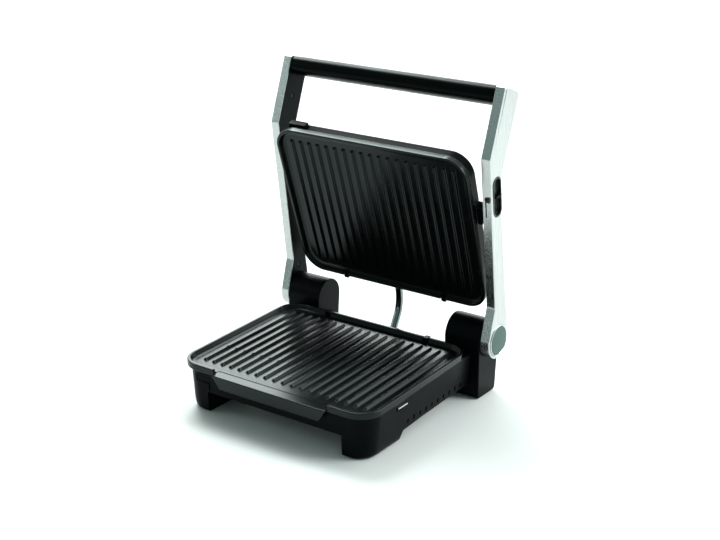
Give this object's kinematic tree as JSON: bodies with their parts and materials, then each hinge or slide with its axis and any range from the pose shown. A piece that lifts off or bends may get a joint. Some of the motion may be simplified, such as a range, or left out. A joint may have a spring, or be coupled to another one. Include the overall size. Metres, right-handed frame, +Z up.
{
  "type": "panini press",
  "caption": "Open contact grill: ribbed lower plate with grease spout on a legged base, floating ribbed upper plate hung between two cranked steel arms joined by a grip.",
  "frame": {"origin": "on the table, under the middle of the press's bounding box with the lid open", "axes": "+Z up, -Y towards the user (the spout side), +X to the user's right"},
  "size_m": [0.338, 0.3054, 0.4114],
  "materials": {
    "black_plastic": "moulded, fine satin texture",
    "non_stick_coating": "die-cast plate with a black non-stick coating, semi-gloss",
    "brushed_steel": "brushed along the arm",
    "bright_steel": "bright turned or drawn steel",
    "grey_cap": "painted grey, satin",
    "grip_plastic": "smooth satin",
    "rubber": "matt",
    "heater_sheath": "oxidised steel tube",
    "ceramic": "unglazed white ceramic"
  },
  "bodies": {
    "base": {"base_housing": "black_plastic", "bottom_cover": "black_plastic", "cover_screw_front_left": "bright_steel", "cover_screw_front_right": "bright_steel", "cover_screw_rear_left": "bright_steel", "cover_screw_rear_right": "bright_steel", "hinge_tower_left": "black_plastic", "hinge_tower_right": "black_plastic", "hinge_shaft_left": "bright_steel", "hinge_shaft_right": "bright_steel", "foot_pad_front_left": "rubber", "foot_pad_front_right": "rubber", "foot_pad_rear_left": "rubber", "foot_pad_rear_right": "rubber", "lower_plate": "non_stick_coating", "lower_heater": "heater_sheath", "lower_thermostat": "ceramic", "plate_hook_left": "black_plastic", "plate_hook_right": "black_plastic", "side_clip": "bright_steel", "terminal_block": "ceramic", "mains_inlet": "rubber", "conduit": "bright_steel", "conduit_gland_base": "black_plastic"},
    "arms": {"arm_cover_left": "brushed_steel", "arm_cover_right": "brushed_steel", "arm_liner_left": "black_plastic", "arm_liner_right": "black_plastic", "arm_screw_upper_left": "bright_steel", "arm_screw_upper_right": "bright_steel", "arm_screw_lower_left": "bright_steel", "arm_screw_lower_right": "bright_steel", "pivot_cap_left": "grey_cap", "pivot_cap_right": "grey_cap", "handle_grip": "grip_plastic", "handle_rod": "bright_steel", "lock_bezel": "black_plastic"},
    "head": {"head_housing": "black_plastic", "upper_plate": "non_stick_coating", "upper_heater": "heater_sheath", "upper_thermostat": "ceramic", "pivot_pin_left": "bright_steel", "pivot_pin_right": "bright_steel", "head_cheek_left": "black_plastic", "head_cheek_right": "black_plastic", "head_clip_left": "black_plastic", "head_clip_right": "black_plastic", "conduit_gland_head": "black_plastic"},
    "lower_button": {"lower_button": "black_plastic"},
    "height_slider": {"height_slider": "black_plastic"},
    "upper_button": {"upper_button": "black_plastic"}
  },
  "joints": [
    {"name": "lid_hinge", "type": "hinge", "parent": "base", "child": "arms", "pos_m": [0, 0.116, 0.0795], "axis": [1, 0, 0], "range_deg": [-12, 79], "deforming": ["conduit"]},
    {"name": "head_float", "type": "hinge", "parent": "arms", "child": "head", "pos_m": [0, 0.09046, 0.26454], "axis": [1, 0, 0], "range_deg": [-9, 3]},
    {"name": "lower_release", "type": "slide", "parent": "base", "child": "lower_button", "axis": [0, 1, 0], "range_m": [0, 0.002], "stiffness_N_per_m": 600, "springref_m": -0.001},
    {"name": "upper_release", "type": "slide", "parent": "head", "child": "upper_button", "axis": [0, 0.3371, -0.9415], "range_m": [0, 0.002], "stiffness_N_per_m": 600, "springref_m": -0.001},
    {"name": "height_lock", "type": "slide", "parent": "arms", "child": "height_slider", "axis": [0, -0.1618, 0.9868], "range_m": [-0.019, 0]}
  ],
  "couplings": [
    {"joint": "head_float", "follows": "lid_hinge", "ratio": -0.0848}
  ]
}
